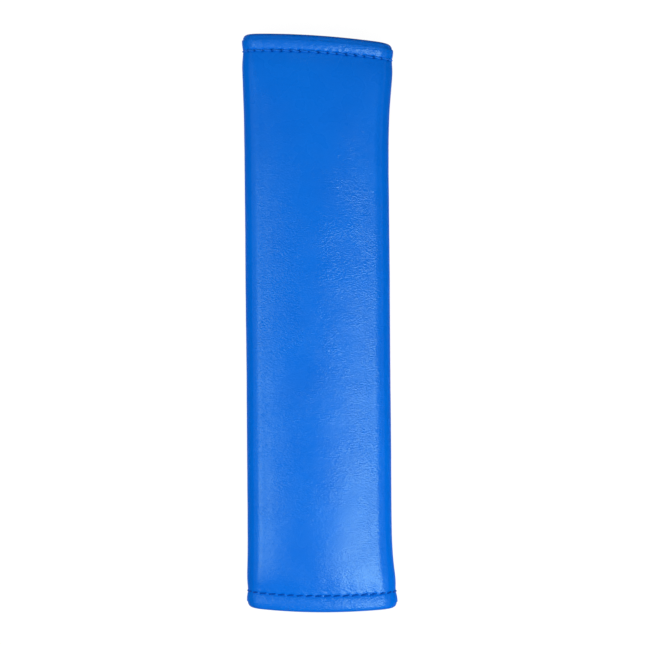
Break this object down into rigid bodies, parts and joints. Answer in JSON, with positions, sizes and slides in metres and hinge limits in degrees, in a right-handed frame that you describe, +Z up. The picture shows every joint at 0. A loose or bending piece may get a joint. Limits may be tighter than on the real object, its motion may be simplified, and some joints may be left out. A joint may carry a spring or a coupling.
{
  "type": "seat belt shoulder pad",
  "caption": "Padded leather-look sleeve with hemmed ends that closes round a car's seat belt with hook and loop tape.",
  "frame": {"origin": "middle of the pad's bounding box, on the surface that the closed pad lies on", "axes": "+Y along the belt towards the end that is uppermost in the picture, +Z up through the padded front, +X across the pad"},
  "size_m": [0.0614, 0.2362, 0.0186],
  "materials": {
    "leather": "blue coated leather, fine smooth grain, satin sheen",
    "thread": "twisted polyester sewing thread, blue to match the cover",
    "foam": "open-cell polyurethane foam, matt grey",
    "lining": "black knitted polyester lining, matt",
    "loop_tape": "black napped loop tape",
    "hook_tape": "black woven nylon hook tape"
  },
  "bodies": {
    "root": {"leather_cover": "leather", "foam_core": "foam", "lining": "lining", "loop_tape": "loop_tape", "hook_tape": "hook_tape", "top_hem_thread": "thread", "bottom_hem_thread": "thread", "loop_tape_left_thread": "thread", "loop_tape_right_thread": "thread", "hook_tape_left_thread": "thread", "hook_tape_right_thread": "thread"}
  },
  "joints": []
}
